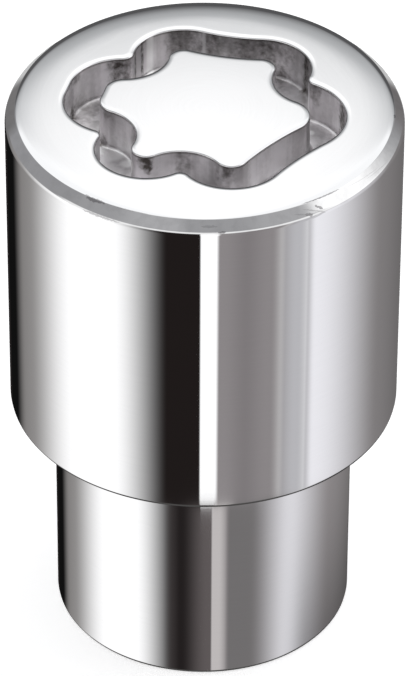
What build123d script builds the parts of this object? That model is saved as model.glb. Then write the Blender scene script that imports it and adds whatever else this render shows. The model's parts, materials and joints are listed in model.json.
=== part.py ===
from build123d import *
from math import atan2, degrees, radians, sqrt, tan
import os

# A one-piece locking wheel nut: a plain round head with a wavy key groove in its closed end,
# on a straight shank that enters the wheel. It stands on its open end, +Z towards the key.

# Head and shank
head_diameter = 23.0
head_height = 20.35
shank_diameter = 17.7
shank_length = 14.85

# Edges left by the lathe
rim_chamfer_width = 0.6
rim_chamfer_height = 0.65
rim_round = 0.12
seat_chamfer = 0.15
neck_chamfer = 0.3
end_chamfer = 0.15

# Key groove: one closed channel of even width round a wavy island
key_circle_diameter = 16.3
groove_width = 2.05
groove_depth = 2.6
floor_fillet = 0.25
lip_chamfer = 0.1

# Lobes of the groove's outer wall, anticlockwise, each touching the key circle from inside:
# direction in degrees, radius of the lobe, radius of the corner between it and the next lobe
key_lobes = [
    (351.0, 3.63, 0.65),
    (52.0, 2.95, 10.60),
    (103.6, 2.94, 0.65),
    (159.0, 3.15, 60.0),
    (172.2, 3.28, 0.50),
    (230.7, 2.92, 0.60),
    (287.2, 2.98, 17.4),
]

# Stud bore from the open end: M12 x 1.5, cut here at the thread's minor diameter
thread_diameter = 12.0
thread_pitch = 1.5
bore_depth = 25.0
mouth_diameter = 12.6
drill_point_angle = 118.0


def turned_blank():
    # Half section from the axis at the open end, up the outside, to the axis at the closed end
    shank_radius = shank_diameter / 2
    head_radius = head_diameter / 2
    top = shank_length + head_height
    shank_and_seat = Polyline(
        (0, 0),
        (shank_radius - end_chamfer, 0),
        (shank_radius, end_chamfer),
        (shank_radius, shank_length - neck_chamfer),
        (shank_radius + neck_chamfer, shank_length),
        (head_radius - seat_chamfer, shank_length),
        (head_radius, shank_length + seat_chamfer),
    )
    rim = FilletPolyline(
        shank_and_seat @ 1,
        (head_radius, top - rim_chamfer_height),
        (head_radius - rim_chamfer_width, top),
        radius=rim_round,
    )
    closed_end = Polyline(rim @ 1, (0, top), (0, 0))
    section = make_face(shank_and_seat + rim + closed_end)
    return revolve(Plane.XZ * section, Axis.Z)


def stud_bore():
    # Countersunk mouth, plain wall and the cone left by the drill. A metric thread is a 60 degree
    # triangle as high as sqrt(3)/2 of its pitch, and 5/8 of that height is left in the nut
    thread_height = sqrt(3) / 2 * thread_pitch
    bore_radius = thread_diameter / 2 - 5 / 8 * thread_height
    mouth_radius = mouth_diameter / 2
    mouth_depth = mouth_radius - bore_radius
    tip = bore_depth + bore_radius / tan(radians(drill_point_angle / 2))
    outline = Polyline(
        (0, 0),
        (mouth_radius, 0),
        (bore_radius, mouth_depth),
        (bore_radius, bore_depth),
        (0, tip),
        close=True,
    )
    return revolve(Plane.XZ * make_face(outline), Axis.Z)


def heading(start, end):
    step = end - start
    return degrees(atan2(step.Y, step.X))


def lobe_centre(lobe):
    direction, lobe_radius, _ = lobe
    distance = key_circle_diameter / 2 - lobe_radius
    return Vector(distance, 0).rotate(Axis.Z, direction)


def corner_centre(lobe, following):
    # The corner arc touches both lobes from outside the groove, on the right of the way round
    start, end = lobe_centre(lobe), lobe_centre(following)
    _, lobe_radius, corner_radius = lobe
    reach = lobe_radius + corner_radius
    following_reach = following[1] + corner_radius
    span = (end - start).length
    along = (span**2 + reach**2 - following_reach**2) / (2 * span)
    aside = sqrt(reach**2 - along**2)
    course = (end - start).normalized()
    return start + course * along + course.rotate(Axis.Z, -90) * aside


def key_outline(inset):
    # The groove's outer wall drawn smaller by the inset, as arcs that run smoothly into each other
    count = len(key_lobes)
    following = [key_lobes[(i + 1) % count] for i in range(count)]
    centres = [lobe_centre(lobe) for lobe in key_lobes]
    corners = [corner_centre(lobe, after) for lobe, after in zip(key_lobes, following)]
    arcs = []
    for i, (_, lobe_radius, corner_radius) in enumerate(key_lobes):
        lobe_start = heading(centres[i], corners[i - 1])
        lobe_sweep = (heading(centres[i], corners[i]) - lobe_start) % 360
        arcs += CenterArc(centres[i], lobe_radius - inset, lobe_start, lobe_sweep).edges()
        corner_start = heading(corners[i], centres[i])
        corner_sweep = (corner_start - heading(corners[i], centres[(i + 1) % count])) % 360
        arcs += CenterArc(corners[i], corner_radius + inset, corner_start, -corner_sweep).edges()
    return make_face(arcs)


def key_groove():
    # Straight-walled channel between the outer wall and the island, sunk from the closed end
    floor_height = shank_length + head_height - groove_depth
    channel = key_outline(0) - key_outline(groove_width)
    return Pos(Z=floor_height) * extrude(channel, groove_depth)


def ease_groove(nut):
    # Fillets where both walls meet the floor, and a broken edge round the rim's and island's lips.
    # Two fillets have to fit side by side in the groove, and a lip has to turn the sharpest corner
    sharpest_corner = min(corner_radius for _, _, corner_radius in key_lobes)
    level_faces = nut.faces().filter_by(Plane.XY).group_by(Axis.Z)
    floor = level_faces[-2][0]
    nut = fillet(floor.edges(), min(floor_fillet, 0.45 * groove_width))
    island, rim = nut.faces().filter_by(Plane.XY).group_by(Axis.Z)[-1].sort_by(SortBy.AREA)
    lip_edges = island.outer_wire().edges() + rim.inner_wires()[0].edges()
    return chamfer(lip_edges, min(lip_chamfer, 0.5 * sharpest_corner))


nut_body = ease_groove(turned_blank() - stud_bore() - key_groove())
nut_body.label = "nut_body"

os.makedirs("parts", exist_ok=True)
export_step(nut_body, "parts/nut_body.step")
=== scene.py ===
import json
import math
import bpy
import numpy as np
from mathutils import Matrix, Vector


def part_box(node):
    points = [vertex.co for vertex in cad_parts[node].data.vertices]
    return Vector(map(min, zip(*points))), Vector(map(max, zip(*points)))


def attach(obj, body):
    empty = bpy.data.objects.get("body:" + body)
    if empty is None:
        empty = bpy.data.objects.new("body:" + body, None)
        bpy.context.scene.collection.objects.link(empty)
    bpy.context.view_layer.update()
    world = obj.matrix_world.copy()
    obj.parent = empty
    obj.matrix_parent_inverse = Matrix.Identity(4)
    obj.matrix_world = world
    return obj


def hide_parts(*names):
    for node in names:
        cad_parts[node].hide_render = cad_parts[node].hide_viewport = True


mm = 0.001
tiny = 1e-9  # keeps a length of nothing from being divided by
meetDigits = 5  # points that agree to so many digits of a mm become one

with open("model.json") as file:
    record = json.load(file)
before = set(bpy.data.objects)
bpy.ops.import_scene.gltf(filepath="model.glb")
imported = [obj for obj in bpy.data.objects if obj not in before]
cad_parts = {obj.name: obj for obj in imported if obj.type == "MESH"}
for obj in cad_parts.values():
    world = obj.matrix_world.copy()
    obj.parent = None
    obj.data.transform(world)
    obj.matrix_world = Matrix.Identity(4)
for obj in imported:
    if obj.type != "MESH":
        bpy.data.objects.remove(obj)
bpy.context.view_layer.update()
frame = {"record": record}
print("frame: packed nut loaded")

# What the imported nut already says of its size, in mm
_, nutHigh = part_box("nut_body")
mounts = {mount["name"]: mount for mount in frame["record"]["mounts"]}
body = {
    "top": nutHigh.z / mm,
    "headRadius": nutHigh.x / mm,
    "seat": mounts["seat"]["pos_m"][2] / mm,
    "shankRadius": mounts["shank"]["dims"]["r_mm"],
    "boreRadius": mounts["stud_thread"]["dims"]["r_mm"],
}

# Edges of the nut in mm, with the buffing that rolls the end face over towards them
edges = {
    "rimWidth": 0.6,
    "rimHeight": 0.65,
    "rimRound": 0.12,
    "rimFootRound": 0.42,
    "seatRound": 0.3,
    "neckChamfer": 0.3,
    "neckRound": 0.15,
    "endRound": 0.3,
    "roundSteps": 4,  # steps of the mesh in each round
    "rimRolls": [(2.2, 2.6), (0.35, 8.0)],  # width, degrees at the edge
    "grooveRolls": [(0.3, 5.0)],
}

# The key groove in mm: lobes of its outer wall as (direction, radius, radius of the corner that
# follows), and how finely its mesh and that of the end face are divided
groove = {
    "circle": 16.3,
    "width": 2.05,
    "depth": 2.6,
    "floorFillet": 0.25,
    "lipRound": 0.1,
    "lobes": [
        (351.0, 3.63, 0.65),
        (52.0, 2.95, 10.60),
        (103.6, 2.94, 0.65),
        (159.0, 3.15, 60.0),
        (172.2, 3.28, 0.50),
        (230.7, 2.92, 0.60),
        (287.2, 2.98, 17.4),
    ],
    "angleStep": 3.2,  # degrees between two points of an arc, at most
    "lengthStep": 0.24,  # and the distance between them
    "smallArc": 1,  # arcs below this radius only go by the angle
    "smallStep": 1.6,  # and their steps are so many times as long
    "wallSteps": 7,
    "floorSteps": 6,
    "roundSteps": 5,
    # rows of the end face, as shares of the way from the middle to the island's lip, and from the
    # groove's outer lip to the rim
    "islandRows": (0, 0.3, 0.55, 0.75, 0.86, 0.92, 0.955, 0.98),
    "ringRows": (0.02, 0.05, 0.09, 0.14, 0.22, 0.33, 0.46, 0.6, 0.72, 0.81, 0.87, 0.915, 0.95, 0.98),
}

# The tapped bore, in mm
thread = {
    "diameter": 12.0,
    "pitch": 1.5,
    "crest": 1 / 4,  # shares of the pitch
    "flank": 5 / 16,
    "root": 1 / 8,
    "edge": 0.03,  # softened corners, as a share of the pitch
    "flankTilt": 60.0,  # degrees by which a flank looks up or down
    "mouthRadius": 6.3,
    "mouthRound": 0.06,
    "plainMouth": 0.15,  # height at which the thread may start
    "firstTurn": -2,  # its turns start below the mouth, so that it runs out into it
    "tappedTo": 22.3,
    "runout": 1.2,
    "boreDepth": 25.0,
    "boreInset": 0.05,  # how far the plain wall's rows stay from its ends
    "drillAngle": 118.0,
    "drillRows": (0.01, 0.3, 0.6, 1),  # shares of the way to the drill's point
}


def unit(angle):
    return np.array([math.cos(math.radians(angle)), math.sin(math.radians(angle))])


def heading(step):
    return math.degrees(math.atan2(step[1], step[0]))


def lobeCentre(lobe):
    return unit(lobe[0]) * (groove["circle"] / 2 - lobe[1])


def cornerCentre(lobe, following):
    # centre of the arc that touches both lobes from outside
    start, end = lobeCentre(lobe), lobeCentre(following)
    reach, followingReach = lobe[1] + lobe[2], following[1] + lobe[2]
    span = np.linalg.norm(end - start)
    along = (span**2 + reach**2 - followingReach**2) / (2 * span)
    aside = math.sqrt(reach**2 - along**2)
    course = (end - start) / span
    return start + course * along + np.array([course[1], -course[0]]) * aside


def arcAngles(start, sweep, radius):
    # the arc's own start angle and those after it, without its end
    byAngle = abs(sweep) / groove["angleStep"]
    byLength = math.radians(abs(sweep)) * radius / groove["lengthStep"]
    steps = max(byAngle, byLength)
    if radius < groove["smallArc"]:
        steps = byAngle / groove["smallStep"]
    return start + sweep * np.arange(math.ceil(steps)) / math.ceil(steps)


def outerWall():
    # points of the outer wall seen from above, and the outward direction at each
    lobes = groove["lobes"]
    after = lobes[1:] + lobes[:1]
    centres = [lobeCentre(lobe) for lobe in lobes]
    corners = [cornerCentre(lobe, following) for lobe, following in zip(lobes, after)]
    points, outward = [], []
    for i, (_, radius, cornerRadius) in enumerate(lobes):
        nextCentre = centres[(i + 1) % len(lobes)]
        start = heading(corners[i - 1] - centres[i])
        sweep = (heading(corners[i] - centres[i]) - start) % 360
        for angle in arcAngles(start, sweep, radius):
            points.append(centres[i] + radius * unit(angle))
            outward.append(unit(angle))
        start = heading(centres[i] - corners[i])
        sweep = (start - heading(nextCentre - corners[i])) % 360
        for angle in arcAngles(start, -sweep, cornerRadius):
            points.append(corners[i] + cornerRadius * unit(angle))
            outward.append(-unit(angle))
    return np.array(points), np.array(outward)


def closed(values):
    # repeats the first column at the end, so that a row meets itself
    return np.concatenate([values, values[:1]])


wall, outward = outerWall()
wall, outward = closed(wall), closed(outward)
columns = len(wall)
rows, normals, zones = [], [], []


def addRow(points, facing, zone):
    # zone names the finish of the faces between this row and the next
    rows.append(points)
    normals.append(facing / np.linalg.norm(facing, axis=1, keepdims=True))
    zones.append(zone)


def ringRow(directions, radius, height, facingOut, facingUp, zone):
    # a row round the axis
    addRow(np.column_stack([directions * radius, np.full(columns, height)]),
           np.column_stack([directions * facingOut, np.full(columns, facingUp)]), zone)


def roll(distance, rolls):
    # drop and slope of a buffed face at a distance from its edge
    drop, slope = 0, 0
    for width, tilt in rolls:
        left = np.clip(1 - distance / width, 0, 1)
        steepest = math.tan(math.radians(tilt))
        drop, slope = drop + steepest * width / 3 * left**3, slope + steepest * left**2
    return drop, slope


def edgeDistance(points, edge):
    # distance from each point to a closed outline, and the direction away from it
    start, step = edge[:-1], np.diff(edge, axis=0)
    along = np.einsum("ijk,jk->ij", points[:, None] - start, step) / (step**2).sum(1)
    nearest = start + np.clip(along, 0, 1)[..., None] * step
    away = points[:, None] - nearest
    distance = np.linalg.norm(away, axis=2)
    best = distance.argmin(1)
    pick = np.arange(len(points))
    return distance[pick, best], away[pick, best] / np.maximum(distance[pick, best], tiny)[:, None]


def faceRow(points, lip, zone):
    # a row of the flat end face, which rolls over towards the groove's lip and the rim
    distance, away = edgeDistance(points, lip)
    drop, slope = roll(distance, edges["grooveRolls"])
    radius = np.linalg.norm(points, axis=1)
    rimDrop, rimSlope = roll(flatEnd - radius, edges["rimRolls"])
    radial = points / np.maximum(radius, tiny)[:, None]
    height = body["top"] - drop - rimDrop
    tilt = rimSlope[:, None] * radial - slope[:, None] * away
    addRow(np.column_stack([points, height]), np.column_stack([tilt, np.ones(len(points))]), zone)


def wallRow(inset, height, inward, upward, zone):
    # a row of the groove at an inset from its outer wall
    points = np.column_stack([wall - inset * outward, np.full(columns, height)])
    addRow(points, np.column_stack([-inward * outward, np.full(columns, upward)]), zone)


def arc(start, end):
    # angles of a lip or floor fillet, in radians
    steps = groove["roundSteps"]
    return [math.radians(start + (end - start) * i / steps) for i in range(steps + 1)]


def between(start, end, steps):
    # the divisions of a straight stretch, without its ends
    return np.linspace(start, end, steps + 1)[1:-1]


# The end face stops here, where the rim's chamfer starts to round
chamferSlope = math.atan2(edges["rimHeight"], edges["rimWidth"])
rolledSlope = math.atan(roll(0, edges["rimRolls"])[1])
rimTangent = edges["rimRound"] * math.tan((chamferSlope - rolledSlope) / 2)
flatEnd = body["headRadius"] - edges["rimWidth"] - rimTangent


def endFaceAndGroove():
    top, width = body["top"], groove["width"]
    lip, fillet = groove["lipRound"], groove["floorFillet"]
    drop, slope = roll(0, edges["grooveRolls"])
    tilt = math.degrees(math.atan(slope))
    lipInset = lip - lip * math.sin(math.atan(slope))
    lipCentre = top - drop - lip * math.cos(math.atan(slope))
    floor = top - groove["depth"]
    filletCentre = floor + fillet

    # island, from its middle to its lip and down to the floor
    islandLip = wall - (width + lipInset) * outward
    for share in groove["islandRows"]:
        faceRow(islandLip * share, islandLip, "plate")
    for angle in arc(tilt, 90):
        wallRow(width + lip - lip * math.sin(angle), lipCentre + lip * math.cos(angle),
                -math.sin(angle), math.cos(angle), "plate")
    zones[-1] = "groove"
    for height in between(lipCentre, filletCentre, groove["wallSteps"]):
        wallRow(width, height, -1, 0, "groove")
    for angle in arc(0, 90):
        wallRow(width - fillet + fillet * math.cos(angle), filletCentre - fillet * math.sin(angle),
                -math.cos(angle), math.sin(angle), "groove")

    # floor, and up the outer wall to its lip
    for inset in between(width - fillet, fillet, groove["floorSteps"]):
        wallRow(inset, floor, 0, 1, "groove")
    for angle in arc(90, 0):
        wallRow(fillet - fillet * math.cos(angle), filletCentre - fillet * math.sin(angle),
                math.cos(angle), math.sin(angle), "groove")
    for height in between(filletCentre, lipCentre, groove["wallSteps"]):
        wallRow(0, height, 1, 0, "groove")
    for angle in arc(90, tilt):
        wallRow(lip * math.sin(angle) - lip, lipCentre + lip * math.cos(angle),
                math.sin(angle), math.cos(angle), "plate")

    # ring between the groove and the rim
    rimLip = wall + lipInset * outward
    circle = rimLip / np.linalg.norm(rimLip, axis=1, keepdims=True) * flatEnd
    for share in groove["ringRows"]:
        faceRow(rimLip + (circle - rimLip) * share, rimLip, "plate")
    return circle


def roundedPath(corners):
    # radius, height and facing along a path. A corner is (radius, height, its round, steps on the
    # straight way to it)
    path = [np.array(corner[:2], float) for corner in corners]
    steps = [(b - a) / np.linalg.norm(b - a) for a, b in zip(path, path[1:])]
    faces = [np.array([-step[1], step[0]]) for step in steps]
    points = [(*path[0], *faces[0])]
    for i, (_, _, radius, divisions) in enumerate(corners[1:-1]):
        turn = math.atan2(np.cross(steps[i], steps[i + 1]), np.dot(steps[i], steps[i + 1]))
        side = -math.copysign(1, turn)
        start = path[i + 1] - steps[i] * radius * math.tan(abs(turn) / 2)
        centre = start - side * radius * faces[i]
        last = np.array(points[-1][:2])
        for share in np.arange(1, divisions) / divisions:
            points.append((*(last + (start - last) * share), *faces[i]))
        for share in np.linspace(0, 1, edges["roundSteps"] + 1):
            angle = turn * share
            face = np.array([faces[i][0] * math.cos(angle) - faces[i][1] * math.sin(angle),
                             faces[i][0] * math.sin(angle) + faces[i][1] * math.cos(angle)])
            points.append((*(centre + side * radius * face), *face))
    points.append((*path[-1], *faces[-1]))
    return points


def turnedOutside(directions):
    # rim, head, seat, shank, end face and the start of the countersink
    head, shank, seat, top = body["headRadius"], body["shankRadius"], body["seat"], body["top"]
    mouth, plainMouth = thread["mouthRadius"], thread["plainMouth"]
    neck = edges["neckChamfer"]
    drop, slope = roll(0, edges["rimRolls"])
    rimStart = head - edges["rimWidth"]
    corners = [
        (flatEnd, top - drop, 0, 1),
        (rimStart, top - drop - slope * (rimStart - flatEnd), edges["rimRound"], 1),
        (head, top - edges["rimHeight"], edges["rimFootRound"], 2),
        (head, seat, edges["seatRound"], 14),
        (shank + neck, seat, edges["neckRound"], 3),
        (shank, seat - neck, edges["neckRound"], 1),
        (shank, 0, edges["endRound"], 10),
        (mouth, 0, thread["mouthRound"], 4),
        (mouth - plainMouth, plainMouth, 0, 1),
    ]
    for radius, height, facingOut, facingUp in roundedPath(corners):
        zone = "plate" if radius > mouth + thread["mouthRound"] else "bore"
        ringRow(directions, radius, height, facingOut, facingUp, zone)


def tappedBore(directions):
    # the thread's rows climb with its lead, so that crests and roots follow the mesh
    pitch, radius = thread["pitch"], body["boreRadius"]
    mouth, plainMouth = thread["mouthRadius"], thread["plainMouth"]
    deep = thread["diameter"] / 2 - radius
    around = np.unwrap(np.arctan2(directions[:-1, 1], directions[:-1, 0]))
    turnShare = closed((around - math.atan2(directions[0, 1], directions[0, 0])) / math.tau)
    turnShare[-1] = 1
    edge, crest, flank, root = thread["edge"], thread["crest"], thread["flank"], thread["root"]
    slant = math.radians(thread["flankTilt"])
    flat = (-1, 0)
    rising, falling = (-math.cos(slant), math.sin(slant)), (-math.cos(slant), -math.sin(slant))
    share = edge / flank
    profile = [  # place in the pitch, depth, facing
        (edge, 0, flat),
        (crest - edge, 0, flat),
        (crest + edge, share, rising),
        (crest + flank - edge, 1 - share, rising),
        (crest + flank + edge, 1, flat),
        (crest + flank + root - edge, 1, flat),
        (crest + flank + root + edge, 1 - share, falling),
        (1 - edge, share, falling),
    ]
    coneFacing = -math.sqrt(0.5)  # the countersink faces inwards and down alike
    end = thread["tappedTo"] + thread["runout"]
    for turn in range(thread["firstTurn"], math.ceil(end / pitch) + 1):
        for place, depth, (facingOut, facingUp) in profile:
            height = pitch * (turn + place + turnShare)
            fade = np.clip((end - height) / thread["runout"], 0, 1)
            reach = radius + deep * depth * fade
            cone = mouth - height
            height = np.clip(height, plainMouth, end)
            onCone = (cone > reach) | (height <= plainMouth)
            reach = np.maximum(reach, mouth - height)
            out = np.where(onCone, coneFacing, np.where(fade > 0, facingOut, -1))
            up = np.where(onCone, coneFacing, np.where(fade > 0, facingUp, 0))
            addRow(np.column_stack([directions * reach[:, None], height]),
                   np.column_stack([directions * out[:, None], up]), "bore")

    # plain wall and the drill's cone
    slope = math.radians(thread["drillAngle"] / 2)
    depth, point = thread["boreDepth"], radius / math.tan(slope)
    for height in (end + thread["boreInset"], depth - thread["boreInset"]):
        ringRow(directions, radius, height, -1, 0, "bore")
    for share in thread["drillRows"]:
        ringRow(directions, radius * (1 - share), depth + point * share,
                -math.cos(slope), -math.sin(slope), "bore")


def joinedMesh(name, zoneOrder):
    # one closed mesh from the rows: points that meet become one, and faces with no area go
    points = np.concatenate(rows)
    facing = np.concatenate(normals)
    _, first, place = np.unique(np.round(points, meetDigits), axis=0,
                                return_index=True, return_inverse=True)
    place = place.ravel()
    faces, faceZones = [], []
    for k in range(len(rows) - 1):
        base, following = k * columns, (k + 1) * columns
        for j in range(columns - 1):
            corners = place[[base + j, following + j, following + j + 1, base + j + 1]]
            kept = [corners[i] for i in range(4) if corners[i] != corners[i - 1]]
            if len(set(kept)) > 2:
                faces.append([int(corner) for corner in kept])
                faceZones.append(zoneOrder.index(zones[k]))
    mesh = bpy.data.meshes.new(name)
    mesh.from_pydata((points[first] * mm).tolist(), [], faces)
    mesh.polygons.foreach_set("material_index", faceZones)
    mesh.polygons.foreach_set("use_smooth", [True] * len(faces))
    mesh.update()
    return mesh, facing[first]


def placed(name, data):
    # an object in the scene that shows the data
    thing = bpy.data.objects.new(name, data)
    bpy.context.scene.collection.objects.link(thing)
    return thing


rimCircle = endFaceAndGroove()
directions = rimCircle / np.linalg.norm(rimCircle, axis=1, keepdims=True)
turnedOutside(directions)
tappedBore(directions)
# the zones in the order of the finishes below
nutMesh, nutNormals = joinedMesh("locking_nut", ["plate", "groove", "bore"])
nutMesh.normals_split_custom_set_from_vertices(nutNormals.tolist())
lockingNut = placed("locking_nut", nutMesh)
print("nut: mesh with", len(nutMesh.vertices), "points and", len(nutMesh.polygons), "faces")


def shader(name):
    material = bpy.data.materials.new(name)
    material.use_nodes = True
    return material, material.node_tree, material.node_tree.nodes["Principled BSDF"]


def wire(tree, value, socket):
    # a socket is linked, a number or colour is set
    if isinstance(value, bpy.types.NodeSocket):
        tree.links.new(value, socket)
    elif isinstance(value, tuple) and socket.type == "RGBA":
        socket.default_value = (*value, 1)
    else:
        socket.default_value = value


def calc(tree, operation, *values):
    # one step of arithmetic
    node = tree.nodes.new("ShaderNodeMath")
    node.operation = operation
    for socket, value in zip(node.inputs, values):
        wire(tree, value, socket)
    return node.outputs[0]


def ramp(tree, value, start, end):
    # smooth climb from 0 at the start to 1 at the end
    node = tree.nodes.new("ShaderNodeMapRange")
    node.interpolation_type = "SMOOTHSTEP"
    for given, name in ((value, "Value"), (start, "From Min"), (end, "From Max")):
        wire(tree, given, node.inputs[name])
    return node.outputs["Result"]


def blend(tree, share, first, second):
    # colour that goes from the first to the second with the share
    node = tree.nodes.new("ShaderNodeMix")
    node.data_type = "RGBA"
    # inputs 6 and 7 and output 2 are the ones that hold colours
    for given, place in ((share, "Factor"), (first, 6), (second, 7)):
        wire(tree, given, node.inputs[place])
    return node.outputs[2]


def noise(tree, place, fineness, detail=2.0, roughness=0.55):
    node = tree.nodes.new("ShaderNodeTexNoise")
    given = {"Vector": place, "Scale": fineness, "Detail": detail, "Roughness": roughness}
    for name, value in given.items():
        wire(tree, value, node.inputs[name])
    return node.outputs["Fac"]


def vector(tree, *values):
    node = tree.nodes.new("ShaderNodeCombineXYZ")
    for socket, value in zip(node.inputs, values):
        wire(tree, value, socket)
    return node.outputs[0]


def newGroup(name, inputs, output):
    # empty node group with named numbers going in (Place is a point) and one result coming out
    group = bpy.data.node_groups.new(name, "ShaderNodeTree")
    for key in inputs:
        kind = "NodeSocketVector" if key == "Place" else "NodeSocketFloat"
        group.interface.new_socket(key, in_out="INPUT", socket_type=kind)
    group.interface.new_socket(output, in_out="OUTPUT", socket_type="NodeSocketFloat")
    given, result = group.nodes.new("NodeGroupInput"), group.nodes.new("NodeGroupOutput")
    return group, given.outputs, result.inputs[output]


def use(tree, group, label="", **values):
    # puts a group into a material or the world, with values of its own there
    node = tree.nodes.new("ShaderNodeGroup")
    node.node_tree = group
    node.label = label
    for key, value in values.items():
        wire(tree, value, node.inputs[key])
    return node.outputs[0]


def axes(tree, place):
    parts = tree.nodes.new("ShaderNodeSeparateXYZ")
    tree.links.new(place, parts.inputs[0])
    return parts.outputs


def axisDistance(tree, x, y):
    return calc(tree, "SQRT", calc(tree, "MULTIPLY_ADD", x, x, calc(tree, "MULTIPLY", y, y)))


def azimuthOf(tree, x, y):
    # degrees round the axis, from the side that faces the camera and growing to its right
    return calc(tree, "DEGREES", calc(tree, "ARCTAN2", x, calc(tree, "MULTIPLY", y, -1)))


# Where a mark or blotch fades out and where it is full, in terms of its own size
softEdges = {
    "mark": (1.1, 0.7),
    "spot": (1.0, 0.35),
}


def turnedLines():
    # fine lines that run round the axis, along the sides and across the faces alike
    group, given, result = newGroup("turnedLines", ("Place", "Fineness", "Drift"), "Height")
    x, y, z = axes(group, given["Place"])
    across, drift = calc(group, "SUBTRACT", z, axisDistance(group, x, y)), given["Drift"]
    lines = vector(group, across, calc(group, "MULTIPLY", x, drift), calc(group, "MULTIPLY", y, drift))
    group.links.new(noise(group, lines, given["Fineness"]), result)
    return group


def softWaves():
    # the slow unevenness that buffing leaves, drawn out along the axis where Upright is small
    group, given, result = newGroup("softWaves", ("Place", "Fineness", "Upright"), "Height")
    x, y, z = axes(group, given["Place"])
    stretched = vector(group, x, y, calc(group, "MULTIPLY", z, given["Upright"]))
    group.links.new(noise(group, stretched, given["Fineness"], detail=0.0), result)
    return group


def rimMark():
    # a nick or scratch near the rim, at its own direction and radius, with half sizes in mm
    names = ("Azimuth", "Reach", "Ragged", "Turn", "Radius", "Length", "Width", "Lean")
    group, given, result = newGroup("rimMark", names, "Mask")
    turned = calc(group, "SUBTRACT", given["Azimuth"], given["Turn"])
    along = calc(group, "MULTIPLY", turned, math.radians(body["headRadius"]))
    across = calc(group, "SUBTRACT", calc(group, "SUBTRACT", given["Reach"], given["Radius"]),
                  calc(group, "MULTIPLY", along, given["Lean"]))
    across = calc(group, "MULTIPLY_ADD", given["Ragged"], given["Width"], across)
    far = calc(group, "ADD", calc(group, "POWER", calc(group, "DIVIDE", along, given["Length"]), 2),
               calc(group, "POWER", calc(group, "DIVIDE", across, given["Width"]), 2))
    group.links.new(ramp(group, far, *softEdges["mark"]), result)
    return group


def spot():
    # a blotch, or an upright band where its height counts little
    names = ("Place", "Ragged", "X", "Y", "Z", "Size", "Upright")
    group, given, result = newGroup("spot", names, "Mask")
    x, y, z = axes(group, given["Place"])
    away = (calc(group, "SUBTRACT", x, given["X"]), calc(group, "SUBTRACT", y, given["Y"]),
            calc(group, "MULTIPLY", calc(group, "SUBTRACT", z, given["Z"]), given["Upright"]))
    squares = calc(group, "MULTIPLY", away[0], away[0])
    for part in away[1:]:
        squares = calc(group, "MULTIPLY_ADD", part, part, squares)
    share = calc(group, "DIVIDE", calc(group, "SQRT", squares), given["Size"])
    share = calc(group, "ADD", share, given["Ragged"])
    group.links.new(ramp(group, share, *softEdges["spot"]), result)
    return group


effects = {"lines": turnedLines(), "waves": softWaves(), "mark": rimMark(), "spot": spot()}


def metalShader(name):
    # a metal, and the place on it in mm
    material, tree, metal = shader(name)
    metal.inputs["Metallic"].default_value = 1
    place, scale = tree.nodes.new("ShaderNodeTexCoord"), tree.nodes.new("ShaderNodeVectorMath")
    scale.operation = "SCALE"
    tree.links.new(place.outputs["Object"], scale.inputs[0])
    scale.inputs["Scale"].default_value = 1 / mm
    return material, tree, metal, scale.outputs[0]


def relief(tree, metal, *heights):
    # bump from heights in mm
    total = heights[0]
    for height in heights[1:]:
        total = calc(tree, "ADD", total, height)
    bump = tree.nodes.new("ShaderNodeBump")
    bump.inputs["Distance"].default_value = mm
    tree.links.new(total, bump.inputs["Height"])
    tree.links.new(bump.outputs[0], metal.inputs["Normal"])


# Bright plate outside. Heights and widths are in mm, and a fineness is in waves per mm
plate = {
    "colour": (0.86, 0.86, 0.867),
    "markColour": (0.22, 0.21, 0.22),
    "roughness": 0.014,
    "uneven": 0.014,  # how much rougher the dullest places are
    "markRoughness": 0.25,  # and the marks
    "lineFineness": 8.0,
    "lineDrift": 0.05,  # how much the lines change on their way round
    "lineDepth": 0.000015,
    "lineTone": 0.05,
    "waveFineness": 0.3,
    "waveUpright": 0.04,
    "waveDepth": 0.0013,
    "ragged": 2.4,
    "raggedFineness": 7.0,
    "raggedDetail": 3.0,
    "wear": 0.13,  # how dark the worn patches of the chamfer are
    "wearFineness": 1.6,
    "wearEdges": (0.35, 0.72),  # noise at which the wear starts and is full
    "wearSoft": 0.1,  # width in which it starts at the chamfer's edge
    "marksEnd": (0.8, 0.7),  # depth under the end face where all marks end, and are still full
    "marks": [
        # turn, radius, half length, half width, lean, how dark
        (-33.8, 10.94, 0.68, 0.095, -0.03, 0.68),
        (-36.6, 10.90, 0.25, 0.05, 0.1, 0.5),
        (37.0, 10.91, 1.45, 0.032, 0.02, 0.75),
        (31.0, 11.38, 0.26, 0.07, 0.2, 0.65),
        (34.8, 11.24, 0.22, 0.08, 0.5, 0.7),
        (33.0, 11.30, 0.7, 0.03, 0.3, 0.4),
        (29.0, 11.30, 0.5, 0.03, 0.2, 0.3),
        (1.5, 11.2, 0.5, 0.05, 0.0, 0.3),
        (5.0, 11.44, 0.24, 0.03, 0.0, 0.8),
        (-30.5, 11.46, 1.3, 0.028, 0.0, 0.5),
        (-24.0, 10.9, 1.6, 0.03, 0.0, 0.4),
        (86.0, 10.90, 0.2, 0.07, 0.0, 0.6),
        (54.0, 11.12, 1.6, 0.018, 0.06, 0.25),
        (60.0, 11.28, 1.2, 0.018, 0.05, 0.25),
    ],
}


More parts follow.
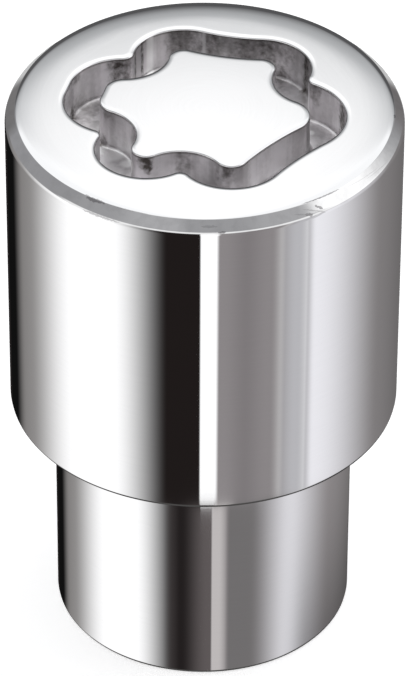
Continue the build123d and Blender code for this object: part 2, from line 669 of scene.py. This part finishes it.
def platedFinish():
    material, tree, metal, place = metalShader("chrome_plate")
    x, y, z = axes(tree, place)
    radius, azimuth = axisDistance(tree, x, y), azimuthOf(tree, x, y)
    lines = use(tree, effects["lines"], Place=place, Fineness=plate["lineFineness"],
                Drift=plate["lineDrift"])
    waves = use(tree, effects["waves"], Place=place, Fineness=plate["waveFineness"],
                Upright=plate["waveUpright"])
    # the marks' outlines wander by a noise, which is 0.5 on average
    grit = noise(tree, place, plate["raggedFineness"], plate["raggedDetail"])
    ragged = calc(tree, "MULTIPLY", calc(tree, "SUBTRACT", grit, 0.5), plate["ragged"])
    worn = ramp(tree, noise(tree, place, plate["wearFineness"]), *plate["wearEdges"])
    onChamfer = ramp(tree, radius, flatEnd, flatEnd + plate["wearSoft"])
    marked = calc(tree, "MULTIPLY", calc(tree, "MULTIPLY", worn, onChamfer), plate["wear"])
    for turn, reach, length, width, lean, darkness in plate["marks"]:
        mark = use(tree, effects["mark"], Azimuth=azimuth, Reach=radius, Ragged=ragged,
                   Turn=turn, Radius=reach, Length=length, Width=width, Lean=lean)
        marked = calc(tree, "MAXIMUM", calc(tree, "MULTIPLY", mark, darkness), marked)
    # the marks are on the end face and its chamfer only
    onTop = ramp(tree, z, *(body["top"] - depth for depth in plate["marksEnd"]))
    marked = calc(tree, "MULTIPLY", marked, onTop)
    relief(tree, metal, calc(tree, "MULTIPLY", lines, plate["lineDepth"]),
           calc(tree, "MULTIPLY", waves, plate["waveDepth"]))
    tone = calc(tree, "MAXIMUM", calc(tree, "MULTIPLY", lines, plate["lineTone"]), marked)
    colour = blend(tree, tone, plate["colour"], plate["markColour"])
    tree.links.new(colour, metal.inputs["Base Color"])
    dull = calc(tree, "MULTIPLY_ADD", waves, plate["uneven"], plate["roughness"])
    dull = calc(tree, "MULTIPLY_ADD", marked, plate["markRoughness"], dull)
    tree.links.new(dull, metal.inputs["Roughness"])
    return material


# Satin walls and floor of the key groove, streaked upwards by the punch and stained in places, with
# painted shade in its corners, at its feet and under its lips, and painted glints
satin = {
    "light": (0.90, 0.88, 0.895),
    "dark": (0.57, 0.555, 0.56),
    # colour of the stains, and of the painted shade under the lips and in the groove's corners
    "stain": (0.13, 0.118, 0.11),
    "glint": (1.0, 1.0, 1.0),
    "roughness": 0.24,
    "uneven": 0.2,
    "streakFineness": 0.8,
    "streakDetail": 3.0,
    "streakUpright": 0.1,  # how much height counts, so that streaks are drawn out along it
    "streakShare": 0.8,
    "streakDepth": 0.003,
    "mottleFineness": 3.0,
    "mottleShare": 0.2,
    "mottleDepth": 0.001,
    "toneEdges": (0.3, 0.6),  # mix of both at which the metal is dark and light
    "grainFineness": 2.9,
    "raggedGrain": 0.5,  # the outlines of the stains and painted shade wander by this much of the grain, and the mottle, about this value
    "raggedMiddle": 0.75,  # about this value
    "patchContrast": 3.2,  # the grain breaks the stains and painted shade up
    "patchOffset": -0.6,
    "lipShade": 0.7,
    "lipEdges": (0.28, 0.1),  # depth where the shade under the lips starts, and is full
    # dark patches, partly stains and partly painted shade and painted reflection in the groove's corners,
    # at its feet, under its lips and on its back wall
    "stains": [
        # x, y, z, size, how much its height counts, strength
        (1.6, 7.7, 34.5, 3.5, 0.3, 0.52),
        (-1.6, 8.0, 34.6, 0.9, 0.2, 0.5),
        (4.4, 7.0, 35.0, 1.5, 0.7, 0.42),
        (-4.95, 4.95, 34.6, 0.95, 0.25, 0.7),
        (-7.78, 2.35, 34.0, 0.9, 0.1, 0.2),
        (-6.9, 3.1, 32.6, 1.2, 1.0, 0.3),
        (-4.07, 5.79, 34.3, 0.24, 0.1, 0.75),
        (-3.68, 6.68, 34.0, 0.2, 0.05, 0.6),
        (-7.45, 3.3, 34.9, 0.5, 0.9, 0.5),
        (-7.67, 2.7, 32.9, 0.55, 0.9, 0.75),
        (-8.1, 0.6, 34.0, 0.9, 0.3, 0.3),
        (-5.55, -0.2, 34.9, 0.4, 0.7, 0.4),
        (-5.8, -0.1, 32.75, 0.5, 0.8, 0.6),
        (-3.4, -4.9, 34.9, 0.55, 0.6, 0.85),
        (-3.2, -4.9, 34.4, 0.4, 0.6, 0.75),
        (-1.2, -4.35, 34.5, 0.6, 0.2, 0.4),
        (1.28, -5.8, 34.9, 0.38, 0.5, 0.55),
        (1.1, -5.7, 34.6, 0.8, 0.4, 0.35),
        (5.9, 5.3, 34.6, 0.5, 0.1, 0.75),
        (6.38, 2.4, 34.8, 0.6, 0.4, 0.45),
        (7.95, 0.35, 34.3, 0.75, 0.1, 0.85),
        (5.1, 5.75, 32.6, 0.9, 1.0, 0.15),
        (4.4, 6.8, 32.7, 0.8, 0.8, 0.5),
    ],
    # painted highlights: the base colour is painted white at these glints
    "glints": [
        (-3.25, 7.2, 34.0, 0.4, 0.03, 1.0),
        (-0.05, 7.8, 34.6, 0.16, 0.05, 0.5),
        (1.3, 7.35, 34.4, 0.9, 0.2, 0.3),
        (-7.25, 3.1, 32.6, 0.35, 1.0, 0.4),
        (-5.98, -0.71, 32.6, 0.55, 1.0, 1.0),
        (-5.2, -1.2, 32.6, 0.75, 1.0, 1.0),
        (-4.5, -2.0, 32.6, 0.5, 1.0, 1.0),
        (6.14, 1.2, 32.6, 0.3, 0.6, 0.8),
    ],
}


def spotMask(tree, place, ragged, row):
    # one stain, patch of painted shade or painted glint, at its strength
    x, y, z, size, upright, strength = row
    mask = use(tree, effects["spot"], Place=place, Ragged=ragged, X=x, Y=y, Z=z, Size=size,
               Upright=upright)
    return calc(tree, "MULTIPLY", mask, strength)


def satinFinish():
    material, tree, metal, place = metalShader("satin_groove")
    x, y, z = axes(tree, place)
    drawnOut = vector(tree, x, y, calc(tree, "MULTIPLY", z, satin["streakUpright"]))
    streaks = noise(tree, drawnOut, satin["streakFineness"], satin["streakDetail"])
    mottle = noise(tree, place, satin["mottleFineness"])
    grain = noise(tree, place, satin["grainFineness"])
    tone = calc(tree, "MULTIPLY_ADD", streaks, satin["streakShare"],
                calc(tree, "MULTIPLY", mottle, satin["mottleShare"]))
    colour = blend(tree, ramp(tree, tone, *satin["toneEdges"]), satin["dark"], satin["light"])
    # painted shade: the walls darken just under their lips
    lip = ramp(tree, z, *(body["top"] - depth for depth in satin["lipEdges"]))
    colour = blend(tree, calc(tree, "MULTIPLY", lip, satin["lipShade"]), colour, satin["stain"])
    ragged = calc(tree, "MULTIPLY_ADD", grain, satin["raggedGrain"], mottle)
    ragged = calc(tree, "SUBTRACT", ragged, satin["raggedMiddle"])
    patchy = calc(tree, "MULTIPLY_ADD", grain, satin["patchContrast"], satin["patchOffset"])
    # stains and painted shade darken the colour in patches
    for row in satin["stains"]:
        mask = calc(tree, "MULTIPLY", spotMask(tree, place, ragged, row), patchy)
        colour = blend(tree, calc(tree, "MINIMUM", mask, 1.0), colour, satin["stain"])
    # painted highlights: the glints whiten the base colour
    glintShare = 0.0
    for row in satin["glints"]:
        glintShare = calc(tree, "MAXIMUM", spotMask(tree, place, 0.0, row), glintShare)
    tree.links.new(blend(tree, glintShare, colour, satin["glint"]), metal.inputs["Base Color"])
    relief(tree, metal, calc(tree, "MULTIPLY", streaks, satin["streakDepth"]),
           calc(tree, "MULTIPLY", mottle, satin["mottleDepth"]))
    dull = calc(tree, "MULTIPLY_ADD", mottle, satin["uneven"], satin["roughness"])
    tree.links.new(dull, metal.inputs["Roughness"])
    return material


# Tapped bore, plated thinly and left dull
bore = {
    "light": (0.62, 0.61, 0.61),
    "dark": (0.34, 0.33, 0.32),
    "toneEdges": (0.35, 0.65),  # waves at which the metal is dark and light
    "roughness": 0.23,
    "uneven": 0.15,
    "lineFineness": 6.0,
    "lineDrift": 0.08,
    "lineDepth": 0.0012,
    "waveFineness": 0.8,
    "waveUpright": 0.04,
}


def boreFinish():
    material, tree, metal, place = metalShader("dull_bore")
    lines = use(tree, effects["lines"], Place=place, Fineness=bore["lineFineness"],
                Drift=bore["lineDrift"])
    waves = use(tree, effects["waves"], Place=place, Fineness=bore["waveFineness"],
                Upright=bore["waveUpright"])
    colour = blend(tree, ramp(tree, waves, *bore["toneEdges"]), bore["dark"], bore["light"])
    tree.links.new(colour, metal.inputs["Base Color"])
    relief(tree, metal, calc(tree, "MULTIPLY", lines, bore["lineDepth"]))
    dull = calc(tree, "MULTIPLY_ADD", lines, bore["uneven"], bore["roughness"])
    tree.links.new(dull, metal.inputs["Roughness"])
    return material


for finish in (platedFinish, satinFinish, boreFinish):
    nutMesh.materials.append(finish())
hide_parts("nut_body")
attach(lockingNut, "root")
print("nut: finishes in place")

# A white surround with soft lights and dark flags in it, laid over each other in this order. Turn 0
# is towards the camera and 90 to its right. Left and right count from the turn, and low and high
# are heights above the horizon, all in degrees. The width that follows each edge says how softly
# the card fades out there.
studio = {
    "surround": (1.0, 1.0, 1.0),
    "behind": (1.0, 1.0, 1.0),  # what the camera itself sees behind the floor
    "bend": 1.22,  # degrees by which the low cards' edges rise from the front to the back
    "fullInside": 0.25,  # a card is full this share of the soft width inside its edge
    "goneOutside": 1.25,  # and gone this share of it outside
    "cards": [
        # name, turn, left, soft, right, soft, low, soft, high, soft, colour
        ("topFlag", 0, -95, 12, 54, 26, 30, 6, 60, 10, (0.37, 0.37, 0.38)),
        ("topLeftGlow", -32, -14, 14, 14, 8, 36, 6, 60, 10, (0.46, 0.46, 0.47)),
        ("topRightGlow", 50, -8, 14, 12, 14, 36, 6, 60, 10, (0.44, 0.44, 0.45)),
        ("rightGlow", 92, -14, 10, 26, 14, 6, 8, 46, 10, (1.25, 1.25, 1.25)),
        ("leftWall", -122, -34, 6, 36, 8, -14, 6, 38, 6, (0.33, 0.33, 0.34)),
        ("rightWall", 140, -10, 30, 16, 6, -14, 6, 26, 8, (0.345, 0.345, 0.355)),
        ("ceiling", 180, -60, 10, 60, 10, 28, 1, 88, 2, (0.49, 0.50, 0.51)),
        ("ceilingScreen", 180, -60, 10, 60, 10, 34.6, 1.8, 88, 2, (0.72, 0.73, 0.74)),
        ("ceilingGlow", 180, -60, 10, 60, 10, 36.6, 1.6, 88, 2, (1.12, 1.13, 1.14)),
        ("backFlag", 180, -26, 8, 26, 8, -14, 6, 30.0, 2.4, (0.1, 0.1, 0.103)),
        ("ceilingLight", 180, -0.6, 4.4, 0.6, 4.4, 34.9, 1.7, 88, 2, (1.28, 1.28, 1.28)),
        ("rightGrey", 144, -80, 2, 38, 1, -90, 1, 0, 8, (0.158, 0.15, 0.151)),
        ("rightRise", 117, -53, 2, -2, 45, -90, 1, 0, 8, (0.268, 0.254, 0.255)),
        ("rightLight", 71, -5, 6, 5, 40, -90, 1, 0, 8, (0.965, 0.96, 1.0)),
        ("rightScreen", 54, -6, 3, 5, 8, -90, 1, 0, 8, (0.55, 0.547, 0.57)),
        ("frontScreen", 27, -20, 0.8, 15, 11, -90, 1, 0, 8, (0.3, 0.28, 0.284)),
        ("frontShade", 24, -1, 10, 2, 10, -90, 1, 0, 8, (0.245, 0.227, 0.231)),
        ("leftBack", -160, -20, 1, 30, 1, -90, 1, 0, 8, (0.006, 0.006, 0.006)),
        ("leftEdge", -174, -12, 1, 10, 3, -90, 1, 0, 8, (0.02, 0.017, 0.017)),
        ("leftGrey", -115, -18, 11, 40, 2, -90, 1, 0, 8, (0.24, 0.23, 0.225)),
        ("leftRise", -115, 0, 19, 40, 2, -90, 1, 0, 8, (0.345, 0.335, 0.33)),
        ("leftLight", -60, -26, 29, 40, 2, -90, 1, 0, 8, (1.25, 1.25, 1.25)),
        ("frontFlag", -13, -14, 24, 11, 0.6, -90, 1, 0, 8, (0.016, 0.0125, 0.012)),
        ("slit", 2.9, -4.4, 0.9, 4.3, 1.6, -38.87, 0.02, 0, 8, (1.25, 1.25, 1.25)),
        ("lowFlag", -7, -12, 10, 13.5, 0.8, -90, 1, -38.93, 0.01, (0.13, 0.114, 0.114)),
        ("lowShade", -19, -1, 10, 6, 14, -90, 1, -38.93, 0.01, (0.02, 0.0165, 0.0165)),
        ("lowSlit", 13, -5.4, 0.8, 0.8, 6.0, -90, 1, -38.93, 0.01, (0.6, 0.57, 0.565)),
        ("lowGrey", 100, -70, 6, 62, 8, -90, 1, -38.93, 0.01, (0.195, 0.185, 0.185)),
        ("lowRise", 117, -87, 6, -2, 45, -90, 1, -38.93, 0.01, (0.313, 0.294, 0.297)),
        ("lowScreen", 33, -12, 3, 7, 26, -90, 1, -38.93, 0.01, (0.19, 0.181, 0.182)),
        ("lowLight", 71, 1.5, 28, 1, 38, -90, 1, -38.93, 0.01, (0.89, 0.884, 0.92)),
        ("lowDusk", 117, -30, 20, 60, 10, -90, 1, -42.07, 2.5, (0.0, 0.0, 0.0)),
        ("floorShade", 0, -180, 1, 180, 1, -90, 1, -54, 6, (0.08, 0.078, 0.076)),
        ("leftChamfer", -146, -14, 6, 14, 6, -16, 6, 3, 5, (0.2, 0.195, 0.195)),
        ("backChamfer", 180, -20, 6, 20, 6, -30, 3, -17, 5, (0.6, 0.6, 0.6)),
    ],
}

# A card's edges as (what they limit, name, way outwards), and its limits in the order of the list
cardEdges = (("Side", "Left", -1), ("Side", "Right", 1), ("Height", "Low", -1), ("Height", "High", 1))
cardLimits = ("Turn", *(edge + part for _, edge, _ in cardEdges for part in ("", " Soft")))


def studioCard():
    # mask of one card, from the direction a ray leaves in
    group, given, result = newGroup("studioCard", ("Azimuth", "Height", *cardLimits), "Mask")
    away = calc(group, "SUBTRACT", given["Azimuth"], given["Turn"])
    values = {"Side": calc(group, "WRAP", away, 180, -180), "Height": given["Height"]}
    mask = 1.0
    for value, edge, outwards in cardEdges:
        limit, soft = given[edge], given[edge + " Soft"]
        full = calc(group, "MULTIPLY_ADD", soft, -studio["fullInside"] * outwards, limit)
        gone = calc(group, "MULTIPLY_ADD", soft, studio["goneOutside"] * outwards, limit)
        mask = calc(group, "MULTIPLY", mask, ramp(group, values[value], gone, full))
    group.links.new(mask, result)
    return group


def studioWorld():
    world = bpy.data.worlds.new("studio")
    bpy.context.scene.world = world
    world.use_nodes = True
    tree = world.node_tree
    x, y, z = axes(tree, tree.nodes.new("ShaderNodeTexCoord").outputs["Generated"])
    azimuth = azimuthOf(tree, x, y)
    height = calc(tree, "DEGREES", calc(tree, "ARCSINE", z))
    # below the horizon heights count lower towards the back, which lifts the cards' edges there
    halfTurn = calc(tree, "RADIANS", calc(tree, "DIVIDE", azimuth, 2))
    turned = calc(tree, "SUBTRACT", 1.0, calc(tree, "COSINE", halfTurn))
    lift = calc(tree, "MULTIPLY", turned, calc(tree, "LESS_THAN", height, 0.0))
    height = calc(tree, "SUBTRACT", height, calc(tree, "MULTIPLY", lift, studio["bend"]))
    card, light = studioCard(), studio["surround"]
    for name, *limits, colour in studio["cards"]:
        given = dict(zip(cardLimits, limits))
        light = blend(tree, use(tree, card, name, Azimuth=azimuth, Height=height, **given), light, colour)
    path = tree.nodes.new("ShaderNodeLightPath")
    seen = blend(tree, path.outputs["Is Camera Ray"], light, studio["behind"])
    tree.links.new(seen, tree.nodes["Background"].inputs["Color"])


# The floor, which reflections don't show. The glow is for the camera only
ground = {
    "halfSize": 1.5,  # metres
    "colour": (0.9, 0.9, 0.9),
    "roughness": 0.9,
    "glowColour": (1.0, 1.0, 1.0),
    "glow": 0.5,
}


def paleFloor():
    size = ground["halfSize"]
    corners = [(-size, -size, 0), (size, -size, 0), (size, size, 0), (-size, size, 0)]
    mesh = bpy.data.meshes.new("floor")
    mesh.from_pydata(corners, [], [(0, 1, 2, 3)])
    floor = placed("floor", mesh)
    material, tree, paint = shader("pale_floor")
    wire(tree, ground["colour"], paint.inputs["Base Color"])
    wire(tree, ground["roughness"], paint.inputs["Roughness"])
    wire(tree, ground["glowColour"], paint.inputs["Emission Color"])
    seen = tree.nodes.new("ShaderNodeLightPath").outputs["Is Camera Ray"]
    tree.links.new(calc(tree, "MULTIPLY", seen, ground["glow"]), paint.inputs["Emission Strength"])
    mesh.materials.append(material)
    floor.visible_glossy = False


# The camera stands where the photograph was taken from
camera = {
    "elevation": 37.133,  # degrees above the horizon
    "distance": 317.98,  # mm from the point it looks at
    "target": (0.076, 0.0, 18.581),
    "roll": 0.283,  # degrees
    "lens": 285.97,
    "sensor": 36.0,
    "near": 0.01,  # metres
    "far": 10,
}


def photoCamera():
    slope, turn = math.radians(camera["elevation"]), math.radians(camera["roll"])
    right, up = Vector((1, 0, 0)), Vector((0, math.sin(slope), math.cos(slope)))
    back = Vector((0, -math.cos(slope), math.sin(slope)))
    rolledRight = right * math.cos(turn) + up * math.sin(turn)
    rolledUp = up * math.cos(turn) - right * math.sin(turn)
    data = bpy.data.cameras.new("camera")
    data.lens, data.sensor_width = camera["lens"], camera["sensor"]
    data.clip_start, data.clip_end = camera["near"], camera["far"]
    stand = placed("camera", data)
    place = (Vector(camera["target"]) + back * camera["distance"]) * mm
    turned = Matrix((rolledRight, rolledUp, back)).transposed().to_4x4()
    stand.matrix_world = Matrix.Translation(place) @ turned
    bpy.context.scene.camera = stand


studioWorld()
paleFloor()
photoCamera()
bpy.context.scene.view_settings.view_transform = "Standard"
print("studio: world, floor and camera in place")
